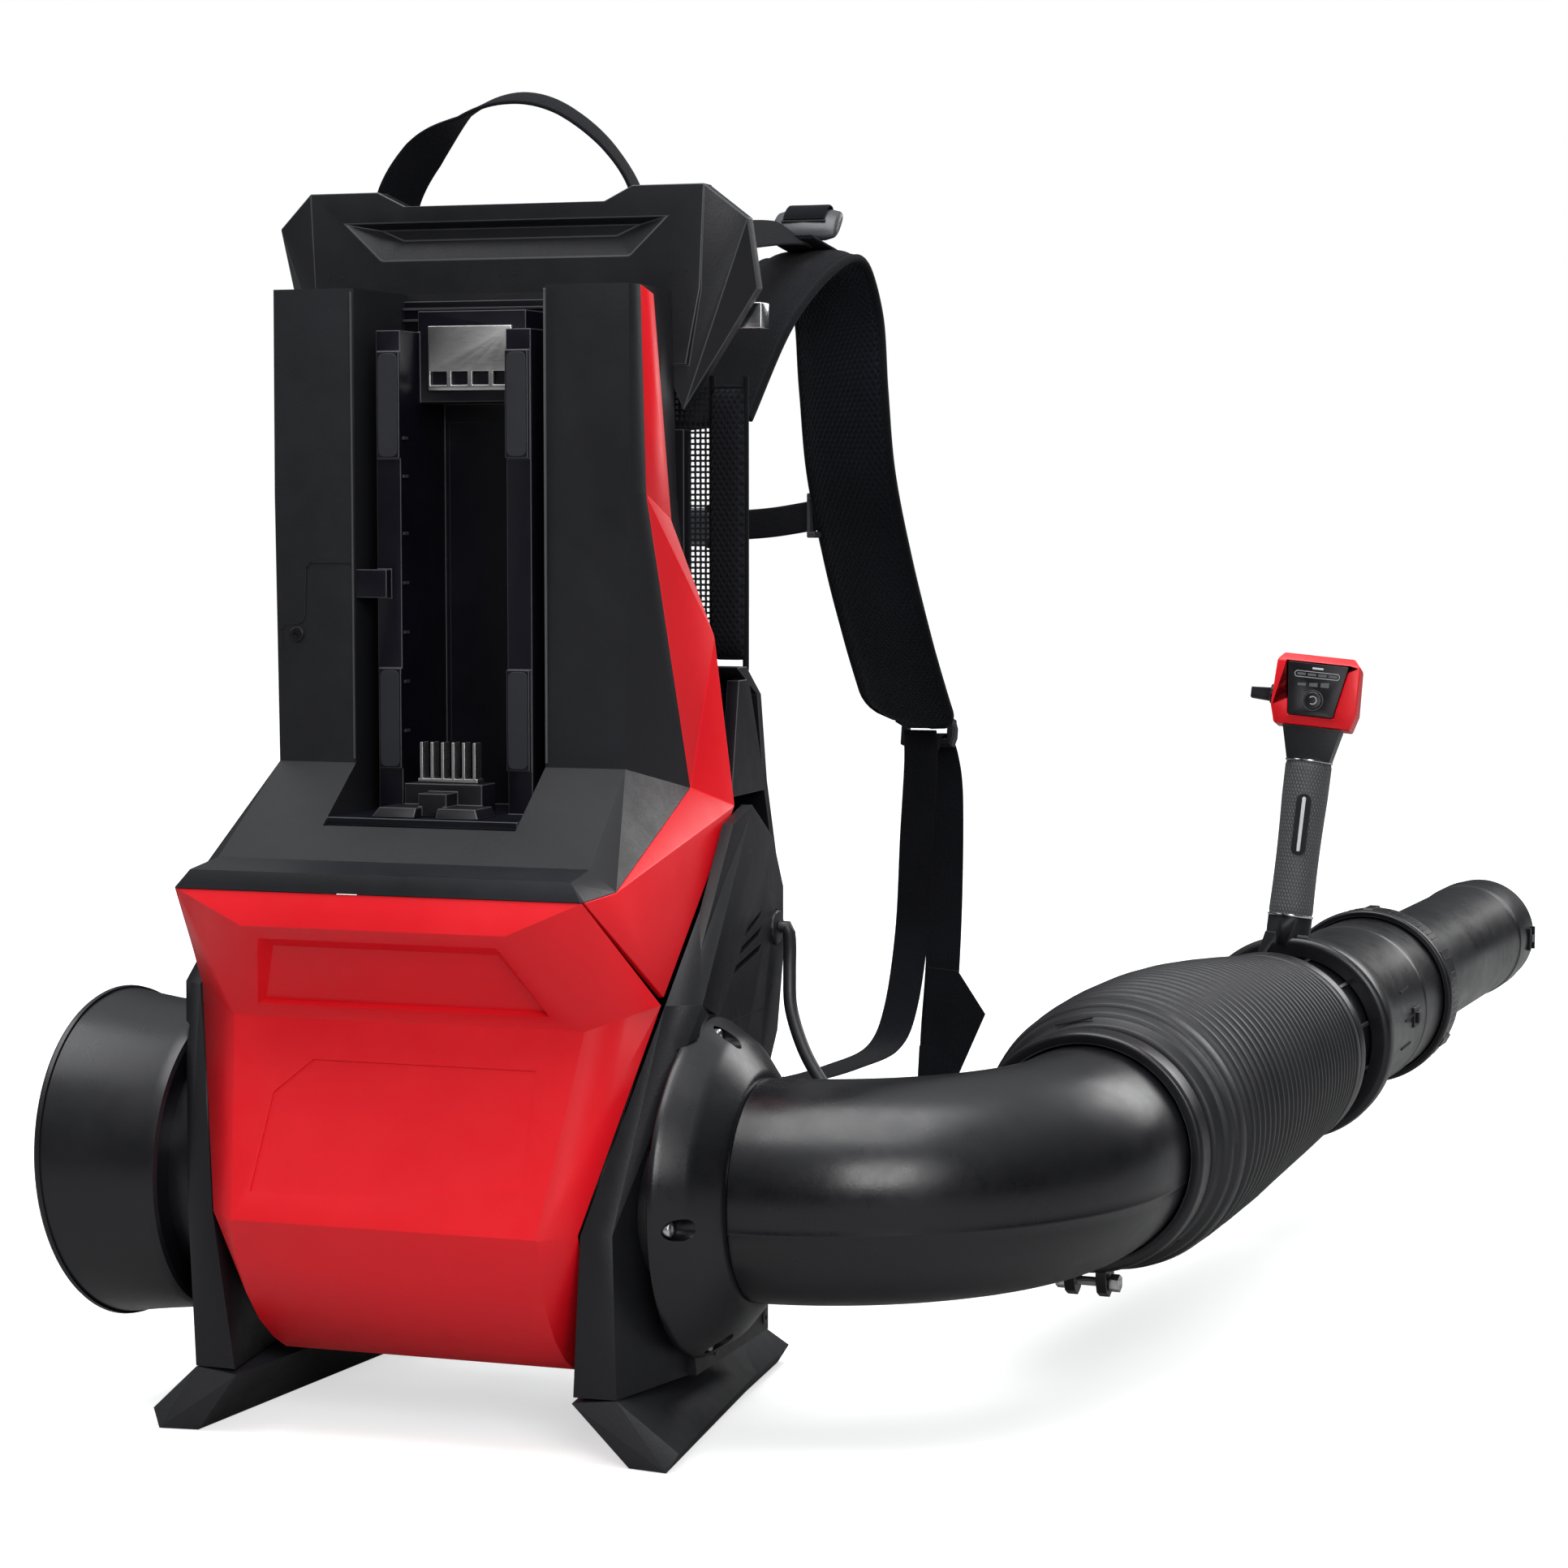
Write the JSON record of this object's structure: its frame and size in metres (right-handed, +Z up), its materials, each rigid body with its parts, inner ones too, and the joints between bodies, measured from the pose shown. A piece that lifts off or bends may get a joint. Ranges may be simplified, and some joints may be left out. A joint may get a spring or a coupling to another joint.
{
  "type": "backpack leaf blower",
  "caption": "Battery-powered backpack leaf blower: axial fan below an open battery tower, harness with padded straps, elbow, bellows hose, control handle and telescoping nozzle.",
  "frame": {"origin": "middle of the whole object's box, on the ground the feet stand on", "axes": "+X the wearer's right, +Y the way the wearer faces and the nozzle points, +Z up"},
  "size_m": [0.6184, 1.3414, 0.7073],
  "materials": {
    "red_shell": "satin moulded plastic, red",
    "dark_shell": "fine-grained charcoal plastic",
    "black_shell": "grained black plastic",
    "duct": "satin black plastic",
    "bellows": "matt black rubber-like plastic",
    "webbing": "woven polyester webbing, black",
    "pad_fabric": "padded twill, black",
    "mesh_fabric": "open spacer mesh, black",
    "steel": "plain steel",
    "copper": "copper-coloured metal",
    "board": "potted control board",
    "cable": "satin black cable sheath"
  },
  "bodies": {
    "chassis": {"clamp_ring": "duct", "clamp_bolt": "steel", "hose_near": "bellows", "tower_shell": "dark_shell", "bay_liner": "black_shell", "strike_plate": "steel", "terminal_block": "black_shell", "terminal_contacts": "copper", "front_cover": "red_shell", "back_plate": "black_shell", "rear_frame": "black_shell", "controller": "board", "inlet_bell": "duct", "inlet_guard": "black_shell", "fan_duct": "duct", "stator_vanes": "black_shell", "motor_case": "steel", "motor_stator": "copper", "motor_bearing_front": "steel", "motor_bearing_rear": "steel", "outlet_flange": "duct", "elbow": "duct", "side_panel_right": "red_shell", "side_cover_right": "dark_shell", "foot_right": "black_shell", "shoulder_pad_right": "pad_fabric", "lifter_strap_right": "webbing", "lifter_buckle_right": "black_shell", "ladder_buckle_right": "black_shell", "adjuster_strap_right": "webbing", "back_pad_right": "pad_fabric", "side_panel_left": "red_shell", "side_cover_left": "dark_shell", "foot_left": "black_shell", "shoulder_pad_left": "pad_fabric", "lifter_strap_left": "webbing", "lifter_buckle_left": "black_shell", "ladder_buckle_left": "black_shell", "adjuster_strap_left": "webbing", "back_pad_left": "pad_fabric", "chest_strap": "webbing", "back_mesh": "mesh_fabric", "carry_handle": "webbing", "hook_clip": "steel", "cable_gland": "cable", "control_cable": "cable"},
    "fan": {"fan_rotor": "black_shell", "motor_rotor": "steel"},
    "hose_middle": {"hose_far": "bellows"},
    "hose_end": {"swivel_collar": "duct"},
    "tube": {"mid_tube": "duct", "handle_stem": "dark_shell", "grip_sleeve": "bellows", "control_head": "red_shell", "head_panel": "black_shell"},
    "lock_ring": {"lock_nut": "duct"},
    "nozzle_tube": {"nozzle": "duct"},
    "trigger_body": {"trigger": "black_shell"},
    "cruise_body": {"cruise_lever": "black_shell"},
    "button_body": {"power_button": "black_shell"}
  },
  "joints": [
    {"name": "fan_spin", "type": "hinge", "parent": "chassis", "child": "fan", "pos_m": [-0.1623, -0.56105, 0.133], "axis": [1, 0, 0], "continuous": true},
    {"name": "hose_yaw", "type": "hinge", "parent": "chassis", "child": "hose_middle", "pos_m": [0.20927, -0.3052, 0.1365], "axis": [0, 0, 1], "range_deg": [-25, 18], "deforming": ["hose_near"]},
    {"name": "hose_pitch", "type": "hinge", "parent": "hose_middle", "child": "hose_end", "pos_m": [0.2189, -0.12746, 0.1365], "axis": [0.9985, -0.0541, 0], "range_deg": [-6, 25], "deforming": ["hose_far"]},
    {"name": "tube_swivel", "type": "hinge", "parent": "hose_end", "child": "tube", "pos_m": [0.22641, 0.01134, 0.1365], "axis": [0.0541, 0.9985, 0], "range_deg": [-45, 45]},
    {"name": "lock_ring_turn", "type": "hinge", "parent": "tube", "child": "lock_ring", "pos_m": [0.2402, 0.26596, 0.1365], "axis": [0.0541, 0.9985, 0], "range_deg": [0, 50]},
    {"name": "nozzle_slide", "type": "slide", "parent": "tube", "child": "nozzle_tube", "axis": [0.0541, 0.9985, 0], "range_m": [-0.07, 0.02]},
    {"name": "trigger_press", "type": "hinge", "parent": "tube", "child": "trigger_body", "pos_m": [0.22881, 0.07865, 0.29618], "axis": [-0.9891, -0.1079, 0.1007], "range_deg": [0, 8], "stiffness_Nm_per_rad": 0.4},
    {"name": "cruise_turn", "type": "hinge", "parent": "tube", "child": "cruise_body", "pos_m": [0.2104, 0.06617, 0.36025], "axis": [0.9891, 0.1079, -0.1007], "range_deg": [0, 45]},
    {"name": "power_press", "type": "slide", "parent": "tube", "child": "button_body", "axis": [-0.12, 0.9851, -0.1236], "range_m": [0, 0.0012], "stiffness_N_per_m": 600}
  ]
}
